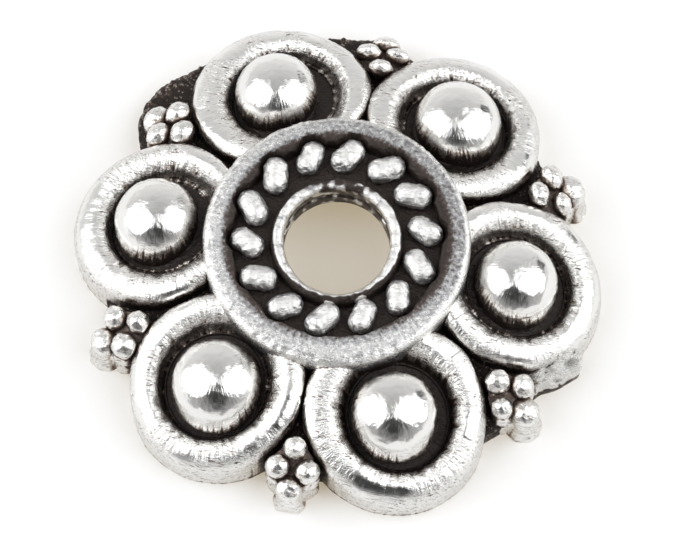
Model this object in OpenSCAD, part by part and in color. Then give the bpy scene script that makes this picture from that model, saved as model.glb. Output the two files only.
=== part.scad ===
/* [Overall] */
// Width across two opposite petals
cap_w = 15; // [14.6:0.1:16]
// Height from the foot to the top of the collar
cap_h = 2.8; // [2.6:0.05:3.2]

/* [Centre hole] */
// Diameter of the hole for the thread or pin
bore_d = 2.95; // [2.4:0.05:3.1]
// Width of the raised lip round the hole
lip_w = 0.36; // [0.3:0.02:0.44]

/* [Collar] */
// Outer diameter of the raised collar
collar_d = 7.46; // [7.2:0.02:7.7]
// Width of the plain band on the collar
collar_band = 0.82; // [0.6:0.02:0.9]
// Rounding of the collar's outer edge
collar_round = 0.3; // [0.1:0.05:0.35]
// Depth of the channel between the band and the lip
channel_depth = 0.55; // [0.4:0.05:0.65]

/* [Twisted row in the channel] */
// Number of oval grains
oval_count = 14; // [10:1:14]
// Length of an oval grain
oval_l = 1.02; // [0.9:0.02:1.1]
// Width of an oval grain
oval_w = 0.66; // [0.56:0.02:0.7]
// Width of the oval's middle ball, as a share of its end balls
oval_swell = 1.05; // [1.03:0.01:1.1]
// Slant of an oval grain away from the radius, in degrees
oval_slant = 39; // [25:1:50]
// How far the grain tops stay below the collar's top
oval_sink = 0.05; // [0:0.01:0.12]
// How far the grains run into the wall of the band
oval_bite = 0.04; // [0.02:0.01:0.08]
// Turn of the whole row, in degrees
oval_turn = 15; // [0:1:25]

/* [Petals] */
// Number of petals
petal_count = 6; // [5:1:6]
// Outer diameter of a petal
petal_d = 4.9; // [4.6:0.05:4.95]
// Slope of a petal down to the outside, in degrees
petal_tilt = 18; // [12:1:20]
// Drop from the collar's top to the middle of a petal's rim
petal_drop = 0.88; // [0.8:0.02:1]
// Width of the round wire that rims a petal
wire_w = 0.88; // [0.7:0.02:0.96]
// Depth of the well inside the wire
well_depth = 0.6; // [0.5:0.02:0.7]
// How far the wall under the wire stands back from it
wall_inset = 0.05; // [0.03:0.01:0.1]

/* [Domes] */
// Diameter of the half ball in a petal
dome_d = 2.3; // [2:0.05:2.5]
// Depth of the ball's centre below the petal's rim
dome_sink = 0.2; // [0.1:0.02:0.3]

/* [Grain clusters between the petals] */
// Diameter of a grain and of the post that it tops
grain_d = 0.72; // [0.6:0.01:0.76]
// Inset of the outer grain's centre from the petals' outer edge
grain_inset = 0.64; // [0.58:0.02:0.7]
// Step inwards from one row of grains to the next
grain_step = 0.51; // [0.49:0.01:0.54]
// Half the spread of the two middle grains
grain_spread = 0.45; // [0.43:0.01:0.48]
// Drop from the collar's top to the centre of the inner grain
grain_drop_in = 1.08; // [1:0.02:1.2]
// Drop from the collar's top to the centres of the middle grains
grain_drop_mid = 1.26; // [1.2:0.02:1.4]
// Drop from the collar's top to the centre of the outer grain
grain_drop_out = 1.57; // [1.5:0.02:1.8]

/* [Base plate and hollow back] */
// Inset of the plate's edge from the petals' outer edge
plate_inset = 0.9; // [0.75:0.05:0.95]
// Height of the plate at its edge
plate_edge = 0.7; // [0.5:0.05:0.8]
// Drop from the collar's top to the middle of the plate's crown
plate_drop = 0.7; // [0.6:0.05:0.8]
// Width of the flat foot inside the plate's edge
foot_w = 0.6; // [0.45:0.05:0.8]
// Metal between the collar's top and the middle of the hollow
crown_wall = 0.9; // [0.85:0.05:1.2]

/* [Hidden] */
$fn = 96;

bore_r = bore_d / 2;
lip_r = lip_w / 2;
lip_out_r = bore_r + lip_w;
collar_r = collar_d / 2;
channel_out_r = collar_r - collar_band;
// Radius at which plate and petals end inside the collar's band
join_r = collar_r - collar_band / 2;
channel_z = cap_h - channel_depth;

petal_r = petal_d / 2;
wire_r = wire_w / 2;
petal_pitch_r = cap_w / 2 - petal_r;
petal_z = cap_h - petal_drop;
wall_r = petal_r - wall_inset;
// A sloping rim is narrower in plan, so it moves out until it stands over its wall
rim_shift = (petal_r - wire_r) * (1 - cos(petal_tilt)) + wire_r * sin(petal_tilt);

plate_r = cap_w / 2 - plate_inset;
plate_top_z = cap_h - plate_drop;
hollow_r = plate_r - foot_w;
hollow_h = cap_h - crown_wall;

half_step = 180 / petal_count;
arc_steps = 5;

// Radius of the ball whose cap has the foot radius r and the height h
function cap_ball_r(r, h) = (r * r + h * h) / (2 * h);

// Points along an arc about [x, z], from angle a to angle b
function arc(x, z, r, a, b, steps) =
    [for (i = [0:steps]) let (t = a + (b - a) * i / steps) [x + r * cos(t), z + r * sin(t)]];

// The round room under the collar's band, which only the collar fills
module band_core() {
    cylinder(r = join_r, h = 4 * cap_h, center = true);
}

// Section of the collar, the channel and the lip, turned round the hole
module collar() {
    color("silver")
    rotate_extrude()
    polygon(concat(
        [[bore_r, 0], [collar_r, 0]],
        arc(collar_r - collar_round, cap_h - collar_round, collar_round, 0, 90, arc_steps),
        [[channel_out_r, cap_h], [channel_out_r, channel_z], [lip_out_r, channel_z]],
        arc(bore_r + lip_r, cap_h - lip_r, lip_r, 0, 180, 2 * arc_steps)
    ));
}

// One oval grain: three balls in a line, sunk in the channel's floor
module oval_grain() {
    half_span = (oval_l - oval_w) / 2;
    for (x = [-half_span, half_span]) translate([x, 0, 0]) sphere(d = oval_w);
    sphere(d = oval_w * oval_swell);
}

module twisted_row() {
    reach = (oval_l - oval_w) / 2 * cos(oval_slant) + oval_w / 2;
    row_r = channel_out_r - reach + oval_bite;
    color("silver")
    for (i = [0:oval_count - 1])
        rotate(oval_turn + i * 360 / oval_count)
        translate([row_r, 0, cap_h - oval_sink - oval_w / 2])
        rotate(-oval_slant)
        oval_grain();
}

// Moves its children to a petal's rim plane, with z square to that plane
module on_petal() {
    translate([petal_pitch_r + rim_shift, 0, petal_z]) rotate([0, petal_tilt, 0]) children();
}

module petal_body() {
    color("dimgray")
    intersection() {
        translate([petal_pitch_r, 0, 0]) cylinder(r = wall_r, h = cap_h);
        on_petal() translate([-cap_w / 2, -cap_w / 2, -cap_w - well_depth]) cube(cap_w);
    }
}

module petal_wire() {
    color("silver")
    on_petal()
    rotate_extrude()
    translate([petal_r - wire_r, -wire_r]) circle(r = wire_r);
}

module dome() {
    color("gainsboro")
    on_petal() translate([0, 0, -dome_sink]) sphere(d = dome_d);
}

module petals() {
    difference() {
        for (i = [0:petal_count - 1])
            rotate(i * 360 / petal_count) {
                petal_body();
                petal_wire();
                dome();
            }
        band_core();
    }
}

// A round-topped post that stands on the foot, at radius r and side step t
module grain(r, t, drop) {
    z = cap_h - drop;
    translate([r, t, 0])
        rotate_extrude()
        intersection() {
            union() {
                translate([0, z]) circle(d = grain_d);
                translate([-grain_d / 2, 0]) square([grain_d, z]);
            }
            square([grain_d, cap_h]);
        }
}

module grain_clusters() {
    outer_r = cap_w / 2 - grain_inset;
    color("silver")
    for (i = [0:petal_count - 1])
        rotate(half_step + i * 360 / petal_count) {
            grain(outer_r, 0, grain_drop_out);
            grain(outer_r - grain_step, -grain_spread, grain_drop_mid);
            grain(outer_r - grain_step, grain_spread, grain_drop_mid);
            grain(outer_r - 2 * grain_step, 0, grain_drop_in);
        }
}

// Round plate with a domed top, from the collar's band to its edge
module plate() {
    ball_r = cap_ball_r(plate_r, plate_top_z - plate_edge);
    color("dimgray")
    difference() {
        intersection() {
            cylinder(r = plate_r, h = cap_h);
            translate([0, 0, plate_top_z - ball_r]) sphere(r = ball_r);
        }
        band_core();
    }
}

// The hollow back, a shallow bowl that leaves a flat foot
module hollow() {
    ball_r = cap_ball_r(hollow_r, hollow_h);
    translate([0, 0, hollow_h - ball_r]) sphere(r = ball_r);
}

module bead_cap() {
    difference() {
        union() {
            collar();
            twisted_row();
            plate();
            petals();
            grain_clusters();
        }
        hollow();
    }
}

bead_cap();
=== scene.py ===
import math
import random

import bpy
import numpy as np
from mathutils import Matrix, Vector, noise
from mathutils.bvhtree import BVHTree


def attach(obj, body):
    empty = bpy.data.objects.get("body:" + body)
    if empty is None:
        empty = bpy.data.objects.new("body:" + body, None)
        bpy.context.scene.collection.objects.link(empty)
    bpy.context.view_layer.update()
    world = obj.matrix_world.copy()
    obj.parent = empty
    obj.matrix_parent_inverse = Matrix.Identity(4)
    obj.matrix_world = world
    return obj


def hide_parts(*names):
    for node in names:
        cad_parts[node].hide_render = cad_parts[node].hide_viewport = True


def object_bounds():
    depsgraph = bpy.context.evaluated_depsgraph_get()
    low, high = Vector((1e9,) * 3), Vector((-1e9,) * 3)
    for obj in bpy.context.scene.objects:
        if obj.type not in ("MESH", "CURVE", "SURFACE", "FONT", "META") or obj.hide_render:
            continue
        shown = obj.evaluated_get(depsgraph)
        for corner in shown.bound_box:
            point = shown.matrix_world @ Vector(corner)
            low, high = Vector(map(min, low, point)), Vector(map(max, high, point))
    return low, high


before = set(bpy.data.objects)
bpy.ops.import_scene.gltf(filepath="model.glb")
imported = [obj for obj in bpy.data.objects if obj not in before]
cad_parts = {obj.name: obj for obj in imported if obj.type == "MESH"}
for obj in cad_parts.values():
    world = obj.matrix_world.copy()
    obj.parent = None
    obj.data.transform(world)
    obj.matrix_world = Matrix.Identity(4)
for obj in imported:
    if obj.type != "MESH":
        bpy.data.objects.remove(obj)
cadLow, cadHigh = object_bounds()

mm = 0.001  # pieces are modelled in millimetres, and made metres once they are finished

# camera, floor and light
cameraView = {
    "azimuth": 10.7,
    "elevation": 67.6,
    "distance": 138.4,
    "fieldWidth": 18.82,  # what the picture is wide, at that distance
    "sensorWidth": 36,
    "clip": (0.005, 20),  # in metres
    "pivotHeight": 2.8,  # top of the collar
    "aimRight": 0.086,  # the lens points a little off the middle of the cap
    "aimDown": 0.911,
}

studio = {
    "boxDistance": 130,
    "boxTurns": {"left": -51, "right": 46},  # degrees from the lens
    "boxLift": 10,
    "boxWidth": 206,
    "boxHeight": 146,
    "boxRadiance": 2.1,
    "boxColor": (0.975, 0.985, 1),
    "darkHeight": 42,  # the unlit part of the room, in front and low
    "roomTones": [  # degrees from there, and tone
        (0, 0.04), (13, 0.055), (24, 0.16), (37, 0.36), (50, 0.46),
        (70, 0.56), (90, 0.67), (114, 0.82), (136, 0.92), (180, 0.92),
    ],
    "standWay": (0.78, 0.60, 0.0),  # a dark lamp head at the upper right, seen from the lens: right, up, back
    "standEdges": (11.7, 6.3),  # degrees from its middle at which it begins and is darkest
    "standTone": 0.12,
    "floorSize": 0.9,  # in metres
    "floorTone": (0.56, 0.61, 0.685),
    "floorRoughness": 0.75,
    "floorShine": 0.2,
    "floorPaintedGlow": (0.345, 0.28, 0.18),  # painted light: the floor glows by itself, which lifts its shadows and warms the floor seen through the hole
}


def lensAxes():
    a, e = math.radians(cameraView["azimuth"]), math.radians(cameraView["elevation"])
    back = Vector((math.sin(a) * math.cos(e), -math.cos(a) * math.cos(e), math.sin(e)))
    right = Vector((math.cos(a), math.sin(a), 0))
    return back, right, back.cross(right)


def pointAt(thing, target):
    thing.rotation_euler = (target - thing.location).to_track_quat("-Z", "Y").to_euler()


def feed(tree, node, given):
    # a number or a row of them is set on the socket, anything else is linked to it
    for name, value in given.items():
        if isinstance(value, (int, float, tuple)):
            node.inputs[name].default_value = value
        else:
            tree.links.new(value, node.inputs[name])


def newNode(tree, kind, given=None, **settings):
    made = tree.nodes.new(kind)
    for name, value in settings.items():
        setattr(made, name, value)
    feed(tree, made, given or {})
    return made


def calc(tree, operation, *values):
    return newNode(tree, "ShaderNodeMath", dict(enumerate(values)), operation=operation).outputs[0]


def between(tree, value, low, high, toLow=0.0, toHigh=1.0, smooth=True):
    given = {"Value": value, "From Min": low, "From Max": high, "To Min": toLow, "To Max": toHigh}
    shape = "SMOOTHSTEP" if smooth else "LINEAR"
    return newNode(tree, "ShaderNodeMapRange", given, interpolation_type=shape).outputs[0]


def facing(tree, direction, way):
    # cosine of the angle between each direction and one way
    given = {0: direction, 1: tuple(way)}
    return newNode(tree, "ShaderNodeVectorMath", given, operation="DOT_PRODUCT").outputs["Value"]


print("stage: camera, floor and light")
lensBack, lensRight, lensUp = lensAxes()
pivot = Vector((0, 0, cameraView["pivotHeight"] * mm))
bpy.ops.object.camera_add(location=pivot + lensBack * cameraView["distance"] * mm)
camera = bpy.context.object
camera.name = "camera"
camera.data.sensor_width = cameraView["sensorWidth"]
camera.data.lens = cameraView["sensorWidth"] * cameraView["distance"] / cameraView["fieldWidth"]
camera.data.clip_start, camera.data.clip_end = cameraView["clip"]
pointAt(camera, pivot + (lensRight * cameraView["aimRight"] - lensUp * cameraView["aimDown"]) * mm)
bpy.context.scene.camera = camera
bpy.context.scene.view_settings.view_transform = "Standard"

for sideName, boxTurn in studio["boxTurns"].items():
    turn, lift = math.radians(boxTurn), math.radians(studio["boxLift"])
    level = lensBack * math.cos(turn) + lensRight * math.sin(turn)
    towards = level * math.cos(lift) + lensUp * math.sin(lift)
    bpy.ops.object.light_add(type="AREA", location=towards * studio["boxDistance"] * mm)
    box = bpy.context.object
    box.name = "softBox_" + sideName
    box.data.shape = "ELLIPSE"
    box.data.size, box.data.size_y = studio["boxWidth"] * mm, studio["boxHeight"] * mm
    box.data.energy = studio["boxRadiance"] * math.pi * box.data.size * box.data.size_y * math.pi / 4
    box.data.color = studio["boxColor"]
    across = lensUp.cross(towards).normalized()  # the box's width lies across the picture
    box.rotation_euler = Matrix((across, towards.cross(across), towards)).transposed().to_euler()

world = bpy.data.worlds.new("studioRoom")
bpy.context.scene.world = world
world.use_nodes = True
tree = world.node_tree
tree.nodes.clear()
direction = newNode(tree, "ShaderNodeTexCoord").outputs["Generated"]
darkTilt = math.radians(studio["darkHeight"])
inFront = Vector((lensBack.x, lensBack.y, 0)).normalized()
away = facing(tree, direction, inFront * math.cos(darkTilt) + Vector((0, 0, math.sin(darkTilt))))
room = newNode(tree, "ShaderNodeValToRGB")
room.color_ramp.interpolation = "EASE"
for i, (degrees, tone) in enumerate(studio["roomTones"]):
    stop = room.color_ramp.elements[i] if i < 2 else room.color_ramp.elements.new(degrees / 180)
    stop.position, stop.color = degrees / 180, (tone, tone, tone, 1)
feed(tree, room, {0: calc(tree, "DIVIDE", calc(tree, "ARCCOSINE", away), math.pi)})
right, up, back = studio["standWay"]
stand = facing(tree, direction, (lensRight * right + lensUp * up + lensBack * back).normalized())
begins, darkest = (math.cos(math.radians(degrees)) for degrees in studio["standEdges"])
lit = between(tree, stand, begins, darkest, 1.0, studio["standTone"])
background = newNode(tree, "ShaderNodeBackground", {"Color": room.outputs[0], "Strength": lit})
newNode(tree, "ShaderNodeOutputWorld", {"Surface": background.outputs[0]})

bpy.ops.mesh.primitive_plane_add(size=studio["floorSize"], location=(0, 0, 0))
floor = bpy.context.object
floor.name = "floor"
floorPaper = bpy.data.materials.new("floorPaper")
floorPaper.use_nodes = True
feed(floorPaper.node_tree, floorPaper.node_tree.nodes["Principled BSDF"], {
    "Base Color": (*studio["floorTone"], 1),
    "Roughness": studio["floorRoughness"],
    "Specular IOR Level": studio["floorShine"],
    # painted light: the floor's own glow, added to what the lamps give it
    "Emission Color": (*studio["floorPaintedGlow"], 1),
    "Emission Strength": 1.0,
})
floor.data.materials.append(floorPaper)


def pickOnly(piece):
    if bpy.context.object and bpy.context.object.mode != "OBJECT":
        bpy.ops.object.mode_set(mode="OBJECT")
    bpy.ops.object.select_all(action="DESELECT")
    piece.select_set(True)
    bpy.context.view_layer.objects.active = piece


def settle(piece):
    # its own move, turn and scale go into its points
    pickOnly(piece)
    bpy.ops.object.transform_apply(location=True, rotation=True, scale=True)


def pickParts(piece, kind, wanted):
    # leaves the piece in edit mode with only the wanted points or edges selected
    pickOnly(piece)
    bpy.ops.object.mode_set(mode="EDIT")
    bpy.ops.mesh.select_mode(type=kind)
    bpy.ops.mesh.select_all(action="DESELECT")
    bpy.ops.object.mode_set(mode="OBJECT")
    for part in piece.data.vertices if kind == "VERT" else piece.data.edges:
        part.select = wanted(part)
    bpy.ops.object.mode_set(mode="EDIT")


def pickPoints(piece, wanted):
    pickParts(piece, "VERT", lambda point: wanted(point.co))


def pickEdges(piece, wanted):
    pickParts(piece, "EDGE", lambda edge: wanted(*(piece.data.vertices[i].co for i in edge.vertices)))


def placesOf(piece):
    found = np.empty(len(piece.data.vertices) * 3, np.float32)
    piece.data.vertices.foreach_get("co", found)
    return found.reshape(-1, 3).astype(float)


def movePlaces(piece, places):
    piece.data.vertices.foreach_set("co", places.astype(np.float32).ravel())
    piece.data.update()


def applyModifier(piece, modifier):
    pickOnly(piece)
    bpy.ops.object.modifier_apply(modifier=modifier.name)


def arc(centreRadius, centreHeight, radius, start, end, steps):
    turns = [math.radians(start + (end - start) * i / steps) for i in range(steps + 1)]
    return [(centreRadius + radius * math.cos(t), centreHeight + radius * math.sin(t)) for t in turns]


def finely(profile, longest):
    # puts more steps on the long stretches of a profile
    steps = [profile[0]]
    for a, b in zip(profile, profile[1:]):
        cuts = max(1, math.ceil(math.dist(a, b) / longest))
        for i in range(1, cuts + 1):
            steps.append((a[0] + (b[0] - a[0]) * i / cuts, a[1] + (b[1] - a[1]) * i / cuts))
    return steps


def turned(name, profile, segments, ending):
    # as on a lathe: a circle is extruded, lifted and widened from step to step
    radius, height = profile[0]
    bpy.ops.object.select_all(action="DESELECT")
    bpy.ops.mesh.primitive_circle_add(vertices=segments, radius=radius, location=(0, 0, height))
    piece = bpy.context.object
    piece.name = piece.data.name = name
    settle(piece)
    bpy.ops.object.mode_set(mode="EDIT")
    bpy.ops.mesh.select_all(action="SELECT")
    for newRadius, newHeight in profile[1:]:
        bpy.ops.mesh.extrude_region_move(TRANSFORM_OT_translate={"value": (0, 0, newHeight - height)})
        grow = newRadius / radius
        bpy.ops.transform.resize(value=(grow, grow, 1), center_override=(0, 0, newHeight))
        radius, height = newRadius, newHeight
    if ending == "pole":
        bpy.ops.mesh.merge(type="CENTER")
    bpy.ops.mesh.select_all(action="DESELECT")
    bpy.ops.mesh.select_non_manifold()
    if ending == "ring":
        bpy.ops.mesh.bridge_edge_loops()
    else:
        bpy.ops.mesh.edge_face_add()
    bpy.ops.mesh.select_all(action="SELECT")
    bpy.ops.mesh.normals_make_consistent(inside=False)
    bpy.ops.object.mode_set(mode="OBJECT")
    return piece


def copyOf(piece, name):
    twin = piece.copy()
    twin.data = piece.data.copy()
    twin.name = twin.data.name = name
    bpy.context.collection.objects.link(twin)
    return twin


def shiftPiece(piece, x, y):
    piece.location = (x, y, 0)
    settle(piece)


def turnAboutHole(piece, degrees):
    piece.rotation_euler = (0, 0, math.radians(degrees))
    settle(piece)


def wrinkle(piece, name, size, depth):
    # soft hills and hollows, as a casting has after it was polished by hand
    texture = bpy.data.textures.new(name, "CLOUDS")
    texture.noise_scale = size
    texture.noise_depth = 1
    modifier = piece.modifiers.new(name, "DISPLACE")
    modifier.texture = texture
    modifier.texture_coords = "LOCAL"
    modifier.strength = depth
    modifier.mid_level = 0.5
    applyModifier(piece, modifier)


def joinSolid(piece, other, operation):
    modifier = piece.modifiers.new("solid", "BOOLEAN")
    modifier.operation = operation
    modifier.object = other
    modifier.solver = "MANIFOLD"
    applyModifier(piece, modifier)
    bpy.data.objects.remove(other)


def acrossRing(turns, count, seed):
    # 0 to 1, notches of uneven depth along a ring
    hills = [noise.noise(Vector((math.cos(t) * count, math.sin(t) * count, seed))) for t in turns]
    return np.clip(3.2 * np.array(hills), 0, 1)


def rampOf(values, start, length):
    # 0 at start and 1 at start + length, which may lie below it
    return np.clip((values - start) / length, 0, 1)


def humpAt(values, middle, width):
    return np.clip(1 - np.abs(values - middle) / width, 0, 1)


def noiseAt(places, scale):
    return np.array([noise.noise(Vector(place) * scale) for place in places])


def flatPolar(offset):
    # distance and direction, in plan
    return np.hypot(offset[:, 0], offset[:, 1]), np.arctan2(offset[:, 1], offset[:, 0])


def outAndSide(offset, degrees):
    # the parts of an offset along and across the line that leaves the hole at this angle
    angle = math.radians(degrees)
    out = offset[:, 0] * math.cos(angle) + offset[:, 1] * math.sin(angle)
    return out, offset[:, 1] * math.cos(angle) - offset[:, 0] * math.sin(angle)


pieces = []


def keepPiece(piece):
    # nothing leaves the box of the solid model, and nothing goes under the floor
    low, high = np.array(cadLow) / mm, np.array(cadHigh) / mm
    movePlaces(piece, np.clip(placesOf(piece), low, high))
    pieces.append(piece)


# hollow back, shared by the plate and the collar
backShape = {
    "footRadius": 6.0,
    "depth": 1.9,
}
backBall = (backShape["footRadius"] ** 2 + backShape["depth"] ** 2) / (2 * backShape["depth"])


def backHeight(radius):
    return backShape["depth"] - backBall + math.sqrt(backBall**2 - radius**2)


def isHollow(places, radii):
    # the bowl's face, and a little above it
    return places[:, 2] < [backHeight(min(r, backShape["footRadius"] - 0.01)) + 0.1 for r in radii]


plateShape = {
    "radius": 6.6,
    "edgeHeight": 0.7,
    "crownHeight": 2.1,
    "innerRadius": 3.3,
    "segments": 560,
    "rings": 44,
    "grainSize": 0.11,
    "grainDepth": 0.05,
    "edgeGrain": 0.04,
    "edgeWander": 0.05,
    # the casting spread or fell short at the gaps: angle in degrees, and how far out
    "bulges": [
        (-180, 0), (-150, -0.12), (-120, -0.3), (-90, -0.42), (-60, -0.3), (-42, -0.1),
        (-30, 0.05), (-25, 0.05), (-22, 0.14), (-19, 0.44), (-14, 0.86), (-11, 0.74),
        (-8, 0.25), (0, 0), (30, -0.1), (60, 0), (80, 0), (86, 0.36), (92, 0.46),
        (102, 0.44), (112, 0.44), (120, 0.5), (130, 0.6), (137, 0.76), (143, 0.82),
        (148, 0.76), (152, 0.6), (155, 0.3), (158, 0), (180, 0),
    ],
    # the crumbly skirt beside the first petal
    "skirtAngle": -16,
    "skirtSpread": 8,
    "skirtRise": 0.45,
    "skirtReach": 7.25,
    "crumbSize": 0.22,
    "crumbHeight": 0.34,
    "crumbSpread": 0.15,
}


def plateTop(radius):
    rise = plateShape["crownHeight"] - plateShape["edgeHeight"]
    ball = (plateShape["radius"] ** 2 + rise**2) / (2 * rise)
    return plateShape["crownHeight"] - ball + math.sqrt(ball**2 - min(radius, plateShape["radius"]) ** 2)


def plateSkirt(turns, spread):
    # how near a place is to the middle of the crumbly skirt, going round
    return np.exp(-(((np.degrees(turns) - plateShape["skirtAngle"]) / spread) ** 2))


def crumbsOf(places):
    return np.array([noise.noise(Vector(place) / plateShape["crumbSize"]) for place in places])


print("stage: base plate")
p = plateShape
edge, inner, foot = p["radius"], p["innerRadius"], backShape["footRadius"]
profile = [(inner + (foot - inner) * i / 24, 0) for i in range(25)]
profile = [(r, backHeight(r) if r < foot - 1e-6 else 0) for r, z in profile]
bend = edge - 0.12
profile += finely([(foot + 0.02, 0), (edge, 0), (edge, 0.6), (edge - 0.04, 0.67), (bend, plateTop(bend))], 0.09)
rings = [bend - (bend - inner) * i / p["rings"] for i in range(1, p["rings"] + 1)]
profile += [(r, plateTop(r)) for r in rings]
plate = turned("basePlate", profile, p["segments"], "ring")
places = placesOf(plate)
radii, turns = flatPolar(places)
spread = np.interp(np.degrees(turns), *zip(*p["bulges"]))
spread += [p["edgeWander"] * noise.noise(Vector((x * 1.6, y * 1.6, 3))) for x, y, z in places]
share = rampOf(radii, 5.6, edge - 5.6) ** 2
places[:, :2] *= (1 + spread * share / radii)[:, None]
grain = np.array([
    noise.noise(Vector(place) / p["grainSize"]) + 0.6 * noise.noise(Vector(place) / p["grainSize"] * 2.3)
    for place in places
])
onTop = rampOf(places[:, 2], 0.1, 0.4) * (radii > 3.6)
isBack = isHollow(places, radii)
atEdge = radii > edge - 0.15
places[:, 2] += p["grainDepth"] * grain * onTop * ~isBack
places[:, :2] *= (1 + p["edgeGrain"] * grain * atEdge * onTop / radii)[:, None]
atSkirt = plateSkirt(turns, p["skirtSpread"]) * rampOf(radii, 6.1, 0.3) * onTop
crumbs = crumbsOf(places)
rise = p["skirtRise"] * rampOf(radii, p["skirtReach"], -0.7)
places[:, 2] += atSkirt * (p["crumbHeight"] * crumbs + rise)
places[:, :2] *= (1 + p["crumbSpread"] * atSkirt * atEdge * crumbs / radii)[:, None]
movePlaces(plate, places)
keepPiece(plate)

# what lies inside the plate's metal and the collar is cut off the pieces that stand on them
buried = [(6.1, -1), (6.1, 0.42), (6.0, 0.47), (5.0, 0.97), (4.0, 1.35), (3.3, 1.56), (3.3, 4)]


def cutBuried(piece):
    core = turned("buriedCore", buried, 96, "cap")
    pickOnly(core)
    bpy.ops.object.mode_set(mode="EDIT")
    bpy.ops.mesh.select_all(action="DESELECT")
    bpy.ops.mesh.select_non_manifold()
    if any(v.select for v in core.data.vertices):
        bpy.ops.mesh.edge_face_add()
    bpy.ops.object.mode_set(mode="OBJECT")
    joinSolid(piece, core, "DIFFERENCE")


petalShape = {
    "count": 6,
    "pitch": 5.05,
    "rimHeight": 1.92,
    "tilt": 18,
    "wallRadius": 2.42,
    "crownMiddle": 1.97,
    "crownOuter": 0.47,
    "crownInner": 0.43,
    "wellFoot": 1.47,
    "wellDepth": 0.60,
    "stepRadius": 1.42,
    "domeRadius": 1.16,
    "domeSink": 0.20,
    "domeShift": 0.11,
    "domeFlatness": 0.88,
    "wellEdges": [1.44, 1.46, 1.41, 1.37, 1.46, 1.53],  # where the black of each well ends
    # domes that sit off their petal's middle, and how wide each one is
    "strays": {1: (-0.08, 0.015), 2: (0.054, 0.010), 4: (0.019, 0.031), 5: (0.024, 0.004), 6: (-0.128, 0.03)},
    "domeWidths": [1.02, 1.06, 1.0, 1.02, 1.07, 1.04],
    "domeSkirt": 0.17,  # the domes run out at their foot on the near side
    "wellShifts": [0.0, 0.04, 0.2, 0.13, -0.07, 0.0],  # sideways, seen from the lens
    # where a petal is wider: angle about its middle, how far out, and over how many degrees
    "swells": {
        1: [(69, 0.08, 20)],
        2: [(-27, 0.13, 22), (170, 0.06, 20)],
        3: [(22, 0.25, 32)],
        4: [(85, 0.06, 20), (273, 0.06, 20)],
        5: [(156, 0.12, 26)],
        6: [(191, 0.2, 42), (51, 0.1, 25)],
    },
    "notchDepth": 0.07,
    "notchCounts": [15, 19, 19, 9, 13, 13],
    "hills": (0.55, 0.035),  # size and depth of the unevenness that polishing by hand leaves
    "ripples": (0.16, 0.016),
    "footGap": 0.006,  # how far the petals stop above the plate's foot
    "segments": 240,
}

print("stage: petals")
s = petalShape
domeFoot = math.degrees(math.asin((s["domeSink"] - s["wellDepth"]) / s["domeRadius"] / s["domeFlatness"]))
crown = arc(s["crownMiddle"], -s["crownOuter"], s["crownOuter"], 0, 90, 16)
crown += arc(s["crownMiddle"], -s["crownInner"], s["crownInner"], 90, 168, 12)[1:]
wellFoot, step, bed = s["wellFoot"], s["stepRadius"], -s["wellDepth"]
well = [crown[-1], (wellFoot + 0.03, bed + 0.08), (wellFoot, bed + 0.03), (wellFoot - 0.03, bed)]
well += [(step + 0.005, bed + 0.005), (step - 0.01, bed + 0.05), (step - 0.035, bed + 0.05)]
well += [(step - 0.06, bed), (1.12, bed)]
dome = arc(0, 0, s["domeRadius"], domeFoot + 1, 88.5, 40)
dome = [(r, z * s["domeFlatness"] - s["domeSink"]) for r, z in dome]
profile = crown + finely(well, 0.06)[1:] + dome
profile = [(s["wallRadius"], 0)] + [(r, s["rimHeight"] + z) for r, z in profile]
petal = turned("petal_1", profile, s["segments"], "pole")
domeMiddle = Vector((0, 0, s["rimHeight"] - s["domeSink"]))


def isOnDome(place):
    return (place - domeMiddle).length < s["domeRadius"] + 0.002


domePoints = np.array([isOnDome(point.co) for point in petal.data.vertices])
pickPoints(petal, isOnDome)
bpy.ops.transform.rotate(
    value=-math.radians(s["tilt"]), orient_axis="Y", center_override=domeMiddle, orient_type="GLOBAL"
)
bpy.ops.transform.translate(value=(s["domeShift"], 0, 0))
bpy.ops.object.mode_set(mode="OBJECT")
places = placesOf(petal)
leaning = ~domePoints & (places[:, 2] > 0.01)
places[leaning, 2] -= math.tan(math.radians(s["tilt"])) * places[leaning, 0]
movePlaces(petal, places)
pickEdges(petal, lambda a, b: min(a.z, b.z) < 0.005 < max(a.z, b.z) - 0.01)
bpy.ops.mesh.subdivide(number_cuts=14)
bpy.ops.object.mode_set(mode="OBJECT")
shiftPiece(petal, s["pitch"], 0)


def petalAngle(number):
    return (number - 1) * 360 / s["count"]


def domeSeat(number):
    angle, reach = math.radians(petalAngle(number)), s["pitch"] + s["domeShift"]
    return Vector((reach * math.cos(angle), reach * math.sin(angle), s["rimHeight"] - s["domeSink"]))


def domeMiddleOf(number):
    return domeSeat(number) + Vector((*s["strays"].get(number, (0, 0)), 0))


def petalMiddle(number):
    angle = math.radians(petalAngle(number))
    return s["pitch"] * np.array((math.cos(angle), math.sin(angle)))


sideways = np.array((lensRight.x, lensRight.y))
nearWay = -np.array((lensUp.x, lensUp.y)) / math.hypot(lensUp.x, lensUp.y)


def wellPolar(places, number):
    # distance and direction from the middle of a petal's well
    return flatPolar(places[:, :2] - petalMiddle(number) - s["wellShifts"][number - 1] * sideways)


def petalNotches(turns, number):
    # along the crown's inner edge, other ones in each petal
    return acrossRing(turns, s["notchCounts"][number - 1], number - 0.7)


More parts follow.
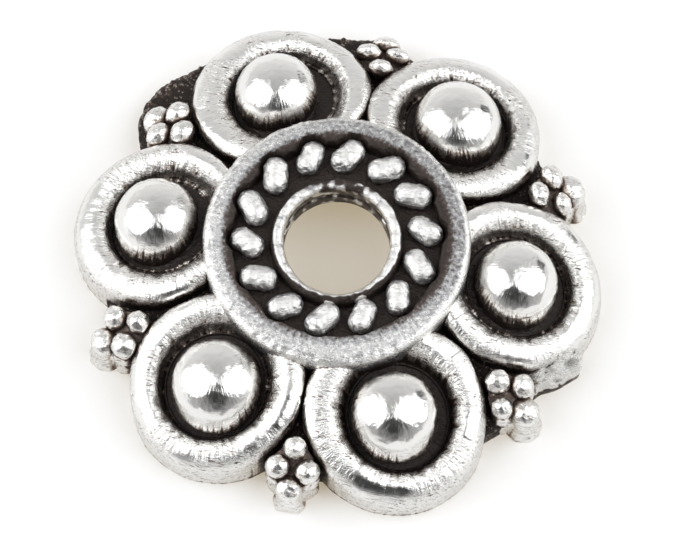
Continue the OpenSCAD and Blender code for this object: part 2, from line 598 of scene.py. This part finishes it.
def reshapePetal(piece, number):
    # no petal of the casting is quite like the next
    places = placesOf(piece)
    fromDome = places - np.array(domeMiddleOf(number))
    isDome = np.linalg.norm(fromDome, axis=1) < s["domeRadius"] * s["domeWidths"][number - 1] + 0.02
    radii, turns = flatPolar(places[:, :2] - petalMiddle(number))
    isInner = rampOf(radii, 2.3, -0.6) * rampOf(radii, 1.15, 0.15) * ~isDome
    places[:, :2] += (isInner * s["wellShifts"][number - 1])[:, None] * sideways
    push = np.zeros(len(places))
    for degrees, reach, spread in s["swells"][number]:
        away = (np.degrees(turns) - degrees + 180) % 360 - 180
        push += reach * np.exp(-((away / spread) ** 2)) * rampOf(radii, 1.9, 0.35)
    places[:, :2] += push[:, None] * np.stack([np.cos(turns), np.sin(turns)], 1)
    flat = fromDome[:, :2] / np.maximum(np.linalg.norm(fromDome[:, :2], axis=1), 1e-6)[:, None]
    near = np.clip(flat @ nearWay, 0, 1)
    low = rampOf(fromDome[:, 2], 0.15, -0.5) ** 1.5
    places[:, :2] += (s["domeSkirt"] * near * low * isDome)[:, None] * flat
    movePlaces(piece, places)


petalPieces = [petal] + [copyOf(petal, f"petal_{number}") for number in range(2, s["count"] + 1)]
for number, piece in enumerate(petalPieces, 1):
    turnAboutHole(piece, petalAngle(number))
    middle, width = domeSeat(number), s["domeWidths"][number - 1]
    pickPoints(piece, lambda place: (place - middle).length < s["domeRadius"] + 0.02)
    bpy.ops.transform.resize(value=(width, width, 1), center_override=middle)
    bpy.ops.transform.translate(value=(*s["strays"].get(number, (0, 0)), 0))
    bpy.ops.object.mode_set(mode="OBJECT")
    reshapePetal(piece, number)
    wrinkle(piece, "polishHills", *s["hills"])
    wrinkle(piece, "polishRipples", *s["ripples"])
    places = placesOf(piece)
    radii, turns = wellPolar(places, number)
    onEdge = humpAt(radii, 1.66, 0.22) * (places[:, 2] > 1.0)
    places[:, 2] -= s["notchDepth"] * onEdge * petalNotches(turns, number)
    places[:, 2] = np.maximum(places[:, 2], s["footGap"])
    movePlaces(piece, places)
    cutBuried(piece)
    keepPiece(piece)

# collar with the channel, the lip and the hole
collarShape = {
    "radius": 3.73,
    "top": 2.8,
    "edgeRound": 0.30,
    "bandFall": 0.04,
    "channelOuter": 2.91,
    "channelFloor": 2.25,
    "lipOuter": 1.835,
    "holeRadius": 1.475,
    "segments": 420,
    "bayWidth": 0.15,  # how wide the band is eaten away round each oval's end
    "bayDepth": 0.8,  # share of the band's height
    "bandInner": 3.3,  # the bays end here
    "lipPress": (0.07, 0.08),  # the lip was pressed out and thinned on the near side
    "lipBump": 0.05,
    "lipWear": 0.02,
    "notchDepth": 0.05,
    "hills": (0.5, 0.02),
    "ripples": (0.14, 0.010),
}
# grains of the twisted row in the channel
ovalShape = {
    "count": 14,
    "length": 1.07,
    "width": 0.71,
    "waist": 0.96,
    "slant": 39,
    "turn": 15,
    "rowRadius": 2.48,
    "rowShift": (-0.05, 0.105),  # the row isn't quite round the hole
    "top": 2.85,
    "dents": (0.1, 0.02),
    "lumps": (0.2, 0.06),
}

print("stage: collar")
c = collarShape
hole, lip, channel, bed, top = c["holeRadius"], c["lipOuter"], c["channelOuter"], c["channelFloor"], c["top"]
profile = [(r, backHeight(r)) for r in (hole, 1.8, 2.1, 2.4, 2.7, 3.0, 3.3, 3.5)]
profile += [(3.53, backHeight(3.5) + 0.06), (c["radius"], backHeight(3.5) + 0.1)]
profile += arc(c["radius"] - c["edgeRound"], top - c["bandFall"] - c["edgeRound"], c["edgeRound"], 0, 87, 12)
profile += arc(channel + 0.12, top - 0.13, 0.12, 90, 180, 6)
profile += [(channel - 0.01, bed + 0.06), (channel - 0.06, bed), (lip + 0.05, bed), (lip, bed + 0.05)]
lipRound = (lip - hole) / 2
profile += arc(hole + lipRound, top - lipRound - 0.01, lipRound, 0, 180, 14)
# a faint groove in the wall of the hole
profile += [(hole + 0.01, 2.34), (hole + 0.05, 2.28), (hole + 0.05, 2.16), (hole + 0.01, 2.12)]
profile += [(hole, backHeight(hole) + 0.03)]
collar = turned("collar", finely(profile, 0.06), c["segments"], "ring")

o = ovalShape
draw = random.Random(11)
ovalPlaces = []
for i in range(o["count"]):
    turn = o["turn"] + i * 360 / o["count"] + draw.uniform(-0.8, 0.8)
    slant = o["slant"] + draw.uniform(-4, 4)
    radius = o["rowRadius"] + draw.uniform(-0.02, 0.02)
    angle, heading = math.radians(turn), math.radians(turn - slant)
    middle = Vector((radius * math.cos(angle), radius * math.sin(angle))) + Vector(o["rowShift"])
    ovalPlaces.append((middle, heading))

halfLine = (o["length"] - o["width"]) / 2


def ovalGap(flat):
    # how far each place is from the nearest oval, in plan
    nearest = np.full(len(flat), 9.0)
    for middle, heading in ovalPlaces:
        line = np.array((math.cos(heading), math.sin(heading)))
        offset = flat - np.array(middle)
        along = np.clip(offset @ line, -halfLine, halfLine)
        nearest = np.minimum(nearest, np.linalg.norm(offset - along[:, None] * line, axis=1) - o["width"] / 2)
    return nearest


# bays in the band round the ovals' ends
places = placesOf(collar)
radii, turns = flatPolar(places)
inBand = (radii > channel - 0.08) & (radii < c["bandInner"]) & (places[:, 2] > bed + 0.02)
eaten = rampOf(ovalGap(places[:, :2]), c["bayWidth"], -c["bayWidth"])
eaten = eaten * eaten * (3 - 2 * eaten) * rampOf(radii, c["bandInner"], -0.15)
places[:, 2] -= inBand * eaten * (places[:, 2] - bed) * c["bayDepth"]
# an uneven lip
onLip = (radii < lip + 0.02) & (places[:, 2] > 2.4)
near = np.clip(places[:, :2] @ nearWay / radii, 0, 1) ** 2
pressed = rampOf(radii, 2.0, -0.16) * c["lipPress"][0] + rampOf(radii, 1.75, -0.2) * c["lipPress"][1]
places[:, :2] *= (1 + near * pressed / radii)[:, None]
bumps = np.array([noise.noise(Vector((x * 4.5, y * 4.5, 1.7))) for x, y, z in places])
places[:, 2] += onLip * (c["lipBump"] * bumps - c["lipWear"])
# small notches along the band's outer edge
notches = humpAt(radii, 3.62, 0.16) * (places[:, 2] > 2.45) * acrossRing(turns, 19, 8.5)
places[:, 2] -= c["notchDepth"] * notches
places[:, :2] *= (1 - c["notchDepth"] * 0.7 * notches / radii)[:, None]
movePlaces(collar, places)
wrinkle(collar, "polishHills", *c["hills"])
wrinkle(collar, "polishRipples", *c["ripples"])

print("stage: twisted row")
bpy.ops.object.select_all(action="DESELECT")
bpy.ops.mesh.primitive_uv_sphere_add(
    segments=28, ring_count=20, radius=o["width"] / 2, rotation=(0, math.pi / 2, 0)
)
oval = bpy.context.object
oval.name = oval.data.name = "oval"
settle(oval)
for side in (-1, 1):
    pickPoints(oval, lambda p: p.x * side > 0.01)
    bpy.ops.transform.translate(value=(side * halfLine, 0, 0))
    bpy.ops.object.mode_set(mode="OBJECT")
pickEdges(oval, lambda a, b: abs(a.x - b.x) > halfLine * 0.8)
bpy.ops.mesh.subdivide(number_cuts=2)
bpy.ops.object.mode_set(mode="OBJECT")
pickPoints(oval, lambda p: abs(p.x) < 0.05)
bpy.ops.transform.resize(value=(1, o["waist"], o["waist"]), center_override=(0, 0, 0))
bpy.ops.object.mode_set(mode="OBJECT")
rounding = oval.modifiers.new("rounding", "SUBSURF")
rounding.levels = rounding.render_levels = 1
applyModifier(oval, rounding)
for i, (middle, heading) in enumerate(ovalPlaces):
    piece = copyOf(oval, f"oval_{i + 1}")
    size = draw.uniform(0.96, 1.03)
    piece.scale = (size, size, size)
    piece.rotation_euler = (0, draw.uniform(-0.08, 0.08), heading)
    piece.location = (middle.x, middle.y, o["top"] - o["width"] / 2)
    settle(piece)
    wrinkle(piece, "ovalDents", *o["dents"])
    wrinkle(piece, "ovalLumps", *o["lumps"])
    joinSolid(collar, piece, "UNION")
bpy.data.objects.remove(oval)
keepPiece(collar)

clusterShape = {
    "count": 6,
    "grainRadius": 0.35,
    "postRadius": 0.31,
    "webRadius": 0.62,
    "webTop": 1.32,
    "webFall": 0.6,
    "outerSwell": [1.3, 1.1, 1.2, 1.2, 1.15, 1.25],
    # of each cluster's balls, outwards and sideways
    "squash": [(0.82, 1.06), (0.68, 1.08), (0.88, 1.06), (1.0, 1.04), (1.04, 1.04), (1.0, 0.96)],
    # how far each cluster stands off its place
    "shifts": [
        (0.15, -0.148), (0.162, -0.102), (0.14, -0.15), (0.055, -0.132), (-0.039, -0.007), (-0.023, -0.035),
    ],
    "outer": (6.86, 0.0, 1.03),  # radius, side step and height of the ball's centre
    "middle": (6.42, 0.42, 1.38),
    "inner": (5.88, 0.0, 1.64),
    "flare": 0.09,  # of the outer post's foot
    "wobble": 0.015,
    "lumps": (0.17, 0.07),  # size and depth
    "webLumps": (0.12, 0.08),
    "footGap": 0.012,  # how far the clusters stop above the plate's foot
    "segments": 44,
}

print("stage: grain clusters")
g = clusterShape
middleRadius, middleStep, middleHeight = g["middle"]
stands = {
    "outer": g["outer"],
    "left": (middleRadius, middleStep, middleHeight),
    "right": (middleRadius, -middleStep, middleHeight),
    "inner": g["inner"],
}


def clusterAngle(number):
    return 60 * number - 30


draw = random.Random(5)
for number in range(1, g["count"] + 1):
    (outSquash, sideSquash), shift = g["squash"][number - 1], g["shifts"][number - 1]
    parts = []
    for name, (radius, step, height) in stands.items():
        isOuter = name == "outer"
        post = g["grainRadius"] - 0.01 if isOuter else g["postRadius"]
        meet = math.degrees(math.acos(post / g["grainRadius"]))
        neck = height - g["grainRadius"] * math.sin(math.radians(meet))
        profile = [(post + (g["flare"] if isOuter else 0), 0), (post, 0.25)]
        if name in ("left", "right"):  # a narrow place, and a belly below the ball
            profile += [(post - 0.04, neck - 0.62), (post + 0.02, neck - 0.5), (post + 0.04, neck - 0.36)]
            profile += [(post + 0.02, neck - 0.22), (post - 0.05, neck - 0.1)]
        profile = finely(profile + [(post, neck)], 0.05)
        profile += arc(0, height, g["grainRadius"], -meet, 87, 16)[1:]
        piece = turned("post_" + name, profile, g["segments"], "pole")
        size = draw.uniform(0.9, 1.05) * (g["outerSwell"][number - 1] if isOuter else 1)
        piece.scale = (size * outSquash, size * sideSquash, 1)
        offRadius, offStep = (draw.uniform(-g["wobble"], g["wobble"]) for axis in range(2))
        piece.location = (radius + offRadius, step + offStep, 0)
        settle(piece)
        turnAboutHole(piece, clusterAngle(number))
        shiftPiece(piece, *shift)
        wrinkle(piece, "grainLumps", *g["lumps"])
        parts.append(piece)
    # metal that fills the room between the four posts, lower towards the outside
    wide, webTop = g["webRadius"], g["webTop"]
    profile = [(wide, 0), (wide, webTop - 0.2), (wide * 0.6, webTop - 0.03), (0.1, webTop)]
    web = turned("web", profile, 40, "pole")
    places = placesOf(web)
    places[:, 2] -= g["webFall"] * places[:, 0] * (places[:, 2] > 0.1)
    movePlaces(web, places)
    shiftPiece(web, middleRadius - 0.06, 0)
    turnAboutHole(web, clusterAngle(number))
    wrinkle(web, "webLumps", *g["webLumps"])
    shiftPiece(web, *shift)
    cluster = parts[0]
    cluster.name = cluster.data.name = f"grainCluster_{number}"
    for piece in parts[1:] + [web]:
        joinSolid(cluster, piece, "UNION")
    places = placesOf(cluster)
    places[:, 2] = np.maximum(places[:, 2], g["footGap"])
    movePlaces(cluster, places)
    cutBuried(cluster)
    keepPiece(cluster)

# the dark patina stays at places that see little of the sky
patinaShape = {
    "mapReach": 8,
    "mapStep": 0.04,
    "lookLift": 0.04,  # the sky is looked at from this far above the metal
    "directions": 16,
    "reaches": [0.05, 0.1, 0.15, 0.2, 0.27, 0.35, 0.45, 0.55, 0.7, 0.85, 1.05, 1.3],
    "heights": [8, 24, 40, 56, 72, 86],
    "stainScale": 4.6,
    "channelDepth": 0.82,
    "holeDepth": 0.60,
    "webDepth": 0.62,
    "webGap": 0.34,  # how far from the balls' middles the web begins
    "outerWear": 0.24,  # the posts' outward walls are rubbed this much brighter
    "notchDepth": 0.45,
    # olive residue that stayed in one well
    "residuePlace": (1.34, 5.24),
    "residueDepth": 0.46,
    "skirtSpread": 9,
    "lipTone": 0.11,
    "farLip": (96, 36),  # where the lip is dark, in degrees, and how widely
    # the same half-worn patina under every piece
    "backDepths": {"petal": 0.30, "collar": 0.38, "grainCluster": 0.22, "basePlate": -0.26},
}

print("stage: patina")
t = patinaShape
allPlaces, allFaces, start = [], [], 0
for piece in pieces:
    places = placesOf(piece)
    allPlaces.append(places)
    allFaces += [[start + v for v in face.vertices] for face in piece.data.polygons]
    start += len(places)
looker = BVHTree.FromPolygons(np.concatenate(allPlaces).tolist(), allFaces)
cells = int(2 * t["mapReach"] / t["mapStep"])
heightMap = np.zeros((cells, cells), np.float32)
down = Vector((0, 0, -1))
for i in range(cells):
    x = (i + 0.5) * t["mapStep"] - t["mapReach"]
    for j in range(cells):
        y = (j + 0.5) * t["mapStep"] - t["mapReach"]
        hit = looker.ray_cast(Vector((x, y, 5)), down)[0]
        if hit:
            heightMap[i, j] = hit.z


def skySeen(places, normals):
    # share of the sky above each point that no higher metal hides, weighted by the way it faces
    seen, whole = np.zeros(len(places)), np.zeros(len(places))
    starts = places + normals * t["lookLift"]
    for d in range(t["directions"]):
        turn = 2 * math.pi * (d + 0.5) / t["directions"]
        way = np.array((math.cos(turn), math.sin(turn)))
        horizon = np.full(len(places), -1.0)
        for reach in t["reaches"]:
            spots = starts[:, :2] + way * reach
            cell = np.clip(((spots + t["mapReach"]) / t["mapStep"]).astype(int), 0, cells - 1)
            horizon = np.maximum(horizon, np.arctan2(heightMap[cell[:, 0], cell[:, 1]] - starts[:, 2], reach))
        for up in t["heights"]:
            e = math.radians(up)
            ray = np.array((way[0] * math.cos(e), way[1] * math.cos(e), math.sin(e)))
            weight = np.maximum(normals @ ray, 0) * math.cos(e)
            seen += weight * (e > horizon)
            whole += weight
    return np.where(whole > 1e-6, seen / np.maximum(whole, 1e-6), 0.6)


def addField(piece, name, kind, values):
    field = piece.data.attributes.new(name, kind, "POINT")
    field.data.foreach_set("value" if kind == "FLOAT" else "vector", values.astype(np.float32).ravel())


def petalPatina(number, places, depth):
    out, side = outAndSide(places, petalAngle(number))
    out -= s["pitch"]
    radii, turns = np.hypot(side, out), np.arctan2(side, out)
    wellRadii, wellTurns = wellPolar(places, number)
    fromDome = places - np.array(domeMiddleOf(number))
    skirt = s["domeSkirt"] * np.clip(fromDome[:, :2] @ nearWay, 0, 1)
    wide = s["domeRadius"] * s["domeWidths"][number - 1] + 0.04 + skirt * (fromDome[:, 2] < 0.1)
    isDome = (np.linalg.norm(fromDome, axis=1) < wide) & (fromDome[:, 2] > -0.45)
    lean = math.radians(s["tilt"])
    outward = outAndSide(fromDome, petalAngle(number))[0]
    latitude = (outward * math.sin(lean) + fromDome[:, 2] * math.cos(lean)) / s["domeRadius"]
    # black in the well, in the notches of its edge and round the dome's foot
    inWell = (wellRadii < 1.80) & (places[:, 2] > 0.7) & ~isDome
    well = 1.0 - rampOf(wellRadii, s["wellEdges"][number - 1] - 0.12, 0.24) * 0.95
    depth = np.where(inWell, np.maximum(depth * (wellRadii < 1.5), well), depth)
    depth += t["notchDepth"] * petalNotches(wellTurns, number) * humpAt(wellRadii, 1.64, 0.2) * ~isDome
    depth = np.where(isDome, np.clip(0.93 - (latitude + 0.36) * 1.05, 0.03, 0.95), depth)
    # scratched walls and crowns, and a clean dome
    onWall = rampOf(radii, 2.3, 0.1) * rampOf(places[:, 2], 1.3, -0.4)
    rubbed = np.clip(0.13 + 0.28 * noiseAt(places, 1.3) + 0.24 * onWall, 0.05, 0.45)
    rubbed += 0.17 * rampOf(wellRadii, 1.95, -0.15)
    scuff = np.where(isDome, 0.055 * rampOf(latitude, 0.72, -0.2), rubbed)
    depth += 0.5 * onWall * rampOf(places[:, 2], 0.16, -0.1)
    away = ((places[:, :2] - t["residuePlace"]) ** 2).sum(axis=1)
    depth += (t["residueDepth"] - depth) * np.exp(-(away / 0.05)) * ~isDome
    return depth, scuff, radii, turns


def clusterPatina(number, places, normals, depth):
    out, side = outAndSide(places[:, :2] - np.array(g["shifts"][number - 1]), clusterAngle(number))
    outward = outAndSide(normals, clusterAngle(number))[0]
    depth -= t["outerWear"] * np.clip(outward / 0.5, 0, 1) * rampOf(places[:, 2], 1.15, -0.3)
    wide, broad = g["squash"][number - 1]
    gaps = []
    for name, (radius, step, height) in stands.items():
        size = g["outerSwell"][number - 1] if name == "outer" else 1
        gaps.append(np.hypot((out - radius) / wide, (side - step) / broad) / size)
    onWeb = (np.min(gaps, axis=0) > t["webGap"]) & (normals[:, 2] > 0.25)
    onWeb &= np.hypot(out - middleRadius + 0.06, side) < g["webRadius"] * 0.8
    return np.where(onWeb, np.maximum(depth, t["webDepth"]), depth)


def platePatina(places, radii, turns, depth):
    # the skirt's crumbs are bright, and dark in between
    atSkirt = plateSkirt(turns, t["skirtSpread"]) * (radii > 6.2)
    bare = 1.2 - 2.4 * np.clip(-0.1 - crumbsOf(places), 0, 1)
    return depth - atSkirt * rampOf(places[:, 2], 0.25, 0.2) * bare


def collarPatina(places, radii, turns, depth):
    height, nearest = places[:, 2], ovalGap(places[:, :2])
    imageTurns = turns - math.radians(cameraView["azimuth"])
    farSide = np.clip(1.6 + 1.6 * np.sin(imageTurns), 0, 1)
    nearSide = np.clip(-np.sin(imageTurns), 0, 1) ** 2
    # the band: patina darkest at its inner edge and round the ovals' ends, with painted shade in its grey that
    # follows the side of the picture
    onBand = (height > 2.5) & (radii > 2.7)
    depth = np.maximum(depth, onBand * (0.2 + 0.28 * farSide) * rampOf(radii, 3.28, -0.36))
    rightward = np.cos(imageTurns)
    # painted shade: the band's grey is lightest at the near right and darkest at the far right, and its rounded
    # outer rim stays bare
    tone = 0.262 - 0.035 * rightward * (1 - farSide) + (0.07 + 0.055 * rightward) * farSide
    depth += onBand * rampOf(radii, 3.66, -0.12) * tone
    depth = np.maximum(depth, onBand * (radii < 3.4) * np.clip(0.72 - 2.2 * nearest, 0, 1))
    # the lip and the wall of the hole, stained
    stains = noiseAt(places, t["stainScale"])
    onLip = (radii < 1.86 + 0.1 * nearSide) & (height > 2.35)
    farLip = np.exp(-(((np.degrees(turns) - t["farLip"][0]) / t["farLip"][1]) ** 2))
    worn = t["lipTone"] + 0.5 * farLip + (0.3 + 0.45 * farLip) * stains
    depth = np.where(onLip, worn + np.clip((radii - 1.74 + 0.02 * nearSide) / 0.08, 0, 1) * 0.8, depth)
    inHole = (radii < hole + 0.09 + 0.14 * nearSide) & (height < 2.6)
    depth = np.where(inHole, t["holeDepth"] + 0.7 * stains, depth)
    # the channel is dark and its ovals are bare
    inChannel = (radii > 1.84 + 0.1 * nearSide) & (radii < 2.93) & (height < 2.42) & (height > 2.1)
    onOval = (nearest < 0.02) & (height > 2.42)
    depth = np.where(inChannel & ~onOval, t["channelDepth"], depth)
    depth = np.where(onOval, depth * rampOf(height, 2.52, -0.10), depth)
    return depth, np.where(onOval, 0.6, np.where(onLip, 0.5, 0.38))


for piece in pieces:
    places = placesOf(piece)
    normals = np.empty(len(places) * 3, np.float32)
    piece.data.vertices.foreach_get("normal", normals)
    normals = normals.reshape(-1, 3).astype(float)
    facesDown = normals[:, 2] < -0.3
    depth = np.where(facesDown, 0.35, 1 - skySeen(places, normals))
    scuff = np.full(len(places), 0.4)
    fromAxis, turns = flatPolar(places)
    radii = fromAxis
    kind, number = piece.name.split("_") if "_" in piece.name else (piece.name, 0)
    if kind == "petal":
        depth, scuff, radii, turns = petalPatina(int(number), places, depth)
    elif kind == "grainCluster":
        depth = clusterPatina(int(number), places, normals, depth)
    elif kind == "basePlate":
        depth = platePatina(places, radii, turns, depth)
    else:
        depth, scuff = collarPatina(places, radii, turns, depth)
    depth = np.where(facesDown & isHollow(places, fromAxis), t["backDepths"][kind], depth)
    addField(piece, "patinaDepth", "FLOAT", depth)
    addField(piece, "scuff", "FLOAT", scuff)
    addField(piece, "grooves", "FLOAT_VECTOR", np.stack([np.cos(turns), np.sin(turns), radii], 1))


def newGroup(name, vectors, numbers, results):
    group = bpy.data.node_groups.new(name, "ShaderNodeTree")
    for label in vectors:
        group.interface.new_socket(label, in_out="INPUT", socket_type="NodeSocketVector")
    for label in numbers:
        group.interface.new_socket(label, in_out="INPUT", socket_type="NodeSocketFloat")
    for label in results:
        group.interface.new_socket(label, in_out="OUTPUT", socket_type="NodeSocketFloat")
    return group, newNode(group, "NodeGroupInput").outputs, newNode(group, "NodeGroupOutput")


def useGroup(tree, group, given):
    return newNode(tree, "ShaderNodeGroup", given, node_tree=group).outputs


def cloud(tree, vector, scale, detail, roughness):
    given = {"Vector": vector, "Scale": scale, "Detail": detail, "Roughness": roughness}
    return newNode(tree, "ShaderNodeTexNoise", given, noise_type="FBM").outputs["Fac"]


def stretch(tree, vector, x, y, z):
    return newNode(tree, "ShaderNodeVectorMath", {0: vector, 1: (x, y, z)}, operation="MULTIPLY").outputs[0]


def slanted(tree, vector, rotation, scale):
    given = {"Vector": vector, "Rotation": rotation, "Scale": scale}
    return newNode(tree, "ShaderNodeMapping", given).outputs[0]


def blended(tree, share, first, second):
    return newNode(tree, "ShaderNodeMix", {0: share, 2: first, 3: second}, data_type="FLOAT").outputs[0]


def bumped(tree, height, depth, strength):
    return newNode(tree, "ShaderNodeBump", {"Height": height, "Distance": depth * mm, "Strength": strength})


def fieldOf(tree, name):
    return newNode(tree, "ShaderNodeAttribute", attribute_name=name).outputs


print("stage: finishes")
# patina: how much of the dark coat is left, broken up by hairlines and specks
tree, given, put = newGroup(
    "patinaCover",
    ["Place", "Grooves"],
    ["Depth", "Hair Amount", "Speck Amount", "Level", "Width", "Scratch Amount"],
    ["Cover"],
)
hair = cloud(tree, stretch(tree, given["Grooves"], 13, 13, 1.6), 1.0, 3.0, 0.7)
specks = cloud(tree, given["Place"], 9.0, 4.0, 0.65)
mix = given["Depth"]
for marks, amount in ((hair, given["Hair Amount"]), (specks, given["Speck Amount"])):
    mix = calc(tree, "MULTIPLY_ADD", calc(tree, "SUBTRACT", marks, 0.5), amount, mix)
level, width = given["Level"], given["Width"]
cover = between(tree, mix, calc(tree, "SUBTRACT", level, width), calc(tree, "ADD", level, width))
for tilt, turn in ((0.5, 0.7), (-0.6, 1.7)):  # scratches that run two ways
    stroke = slanted(tree, given["Place"], (0, tilt, turn), (2.6, 20, 20))
    mark = between(tree, cloud(tree, stroke, 1.0, 2.0, 0.6), 0.62, 0.69)
    cover = calc(tree, "MAXIMUM", cover, calc(tree, "MULTIPLY", mark, given["Scratch Amount"]))
feed(tree, put, {"Cover": cover})
coverGroup = tree

# brush marks: hairlines across the ring and a fine all-over scratch
tree, given, put = newGroup("brushMarks", ["Place", "Grooves"], ["Line Share"], ["Height", "Scuff"])
lines = cloud(tree, stretch(tree, given["Grooves"], 14, 14, 1.4), 1.0, 3.0, 0.6)
scratches = cloud(tree, slanted(tree, given["Place"], (0, 0, 0.5), (4, 26, 26)), 1.0, 3.0, 0.65)
marks = blended(tree, given["Line Share"], scratches, lines)
feed(tree, put, {"Height": marks, "Scuff": cloud(tree, given["Place"], 5.0, 4.0, 0.6)})
brushGroup = tree

# cast grain: small pits and crystals
tree, given, put = newGroup("castGrain", ["Place"], ["Size"], ["Height", "Glint"])
spots = {"Vector": given["Place"], "Scale": given["Size"]}
crystals = newNode(tree, "ShaderNodeTexVoronoi", spots, feature="F1").outputs
tone = newNode(tree, "ShaderNodeSeparateColor", {0: crystals["Color"]}).outputs[0]
fine = cloud(tree, given["Place"], 16.0, 4.0, 0.6)
feed(tree, put, {
    "Height": calc(tree, "ADD", crystals["Distance"], fine),
    "Glint": between(tree, tone, 0.90, 0.96),
})
grainGroup = tree


def silverFinish(name, look):
    material = bpy.data.materials.new(name)
    material.use_nodes = True
    tree = material.node_tree
    scuff = fieldOf(tree, "scuff")["Fac"]
    grooves = stretch(tree, fieldOf(tree, "grooves")["Vector"], look["lineScale"], look["lineScale"], 1)
    place = stretch(tree, newNode(tree, "ShaderNodeTexCoord").outputs["Object"], 1 / mm, 1 / mm, 1 / mm)
    cover = useGroup(tree, coverGroup, {
        "Place": place,
        "Grooves": grooves,
        "Depth": fieldOf(tree, "patinaDepth")["Fac"],
        "Hair Amount": look["hair"],
        "Speck Amount": look["specks"],
        "Level": look["level"],
        "Width": look["width"],
        "Scratch Amount": between(tree, scuff, 0.03, 0.3, 0.0, look["scratch"]),
    })
    brush = useGroup(tree, brushGroup, {"Place": place, "Grooves": grooves, "Line Share": look["lineShare"]})
    grain = useGroup(tree, grainGroup, {"Place": place, "Size": look["grainSize"]})
    bare = calc(tree, "SUBTRACT", 1.0, calc(tree, "MULTIPLY", grain["Glint"], look["glints"]))
    covered = calc(tree, "MULTIPLY", cover["Cover"], bare)
    ramp = newNode(tree, "ShaderNodeValToRGB", {0: covered})
    tones = ramp.color_ramp.elements
    tones[0].position, tones[0].color = 0.0, (*look["silver"], 1)
    tones[1].position, tones[1].color = 1.0, (*look["coat"], 1)
    for position, color in ((0.35, look["tan"]), (0.7, look["brown"])):
        tones.new(position).color = (*color, 1)
    spread = look["roughSpread"]
    smudge = between(tree, brush["Scuff"], 0.3, 0.7, -spread, spread, smooth=False)
    scuffed = calc(tree, "ADD", smudge, between(tree, scuff, 0.0, 1.0, look["rough"], 0.46, smooth=False))
    brushBump = bumped(tree, brush["Height"], look["brushDepth"], between(tree, scuff, 0.0, 0.25, 0.1, 1.0))
    grainStrength = between(tree, covered, 0.1, 0.9, look["grainOnSilver"], 1.0)
    grainBump = bumped(tree, grain["Height"], look["grainDepth"], grainStrength)
    feed(tree, grainBump, {"Normal": brushBump.outputs[0]})
    feed(tree, tree.nodes["Principled BSDF"], {
        "Base Color": ramp.outputs[0],
        "Metallic": between(tree, covered, 0.0, 1.0, 1.0, look["coatMetal"], smooth=False),
        "Roughness": blended(tree, covered, scuffed, look["coatRough"]),
        "Normal": grainBump.outputs[0],
    })
    return material


petalLook = {
    # how the coat breaks up at its edge
    "hair": 1.3, "specks": 0.45, "level": 0.50, "width": 0.18, "scratch": 0.8,
    # brush marks and cast grain
    "lineShare": 0.75, "lineScale": 1.0, "brushDepth": 0.085,
    "grainSize": 9.0, "grainDepth": 0.02, "grainOnSilver": 0.03, "glints": 0.0,
    # from bare silver to the full coat
    "silver": (0.81, 0.80, 0.78), "tan": (0.42, 0.355, 0.30), "brown": (0.075, 0.05, 0.04),
    "coat": (0.019, 0.0135, 0.011), "rough": 0.13, "roughSpread": 0.04, "coatRough": 0.34, "coatMetal": 0.55,
}
collarLook = petalLook | {
    "level": 0.42, "width": 0.28, "hair": 0.15, "specks": 0.6, "scratch": 0.25,
    "lineShare": 0.3, "lineScale": 1.7, "brushDepth": 0.04,
    "tan": (0.365, 0.365, 0.372), "brown": (0.09, 0.07, 0.062), "coat": (0.033, 0.024, 0.020),
}
grainLook = petalLook | {
    "level": 0.40, "width": 0.30, "hair": 0.0, "specks": 0.6, "scratch": 0.5,
    "lineShare": 0.0, "brushDepth": 0.008,
    "brown": (0.14, 0.10, 0.082), "coat": (0.066, 0.047, 0.039),
}
plateLook = petalLook | {
    "level": -0.06, "width": 0.2, "hair": 0.0, "specks": 0.7, "scratch": 0.0,
    "lineShare": 0.0, "grainSize": 21.0, "grainDepth": 0.07, "grainOnSilver": 0.3, "glints": 0.5,
    "coat": (0.029, 0.021, 0.017), "coatRough": 0.5,
}
finishes = {
    "petal": silverFinish("petalSilver", petalLook),
    "collar": silverFinish("collarSilver", collarLook),
    "grainCluster": silverFinish("grainSilver", grainLook),
    "basePlate": silverFinish("castPlate", plateLook),
}

print("stage: into metres and onto the frame")
for piece in pieces:
    piece.scale = (mm, mm, mm)
    settle(piece)
    bpy.ops.object.shade_smooth_by_angle(angle=math.radians(40))
    piece.data.materials.clear()
    piece.data.materials.append(finishes[piece.name.split("_")[0]])
    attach(piece, "root")
    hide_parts("bead_cap")
    print("piece", piece.name, "triangles", sum(len(face.vertices) - 2 for face in piece.data.polygons))
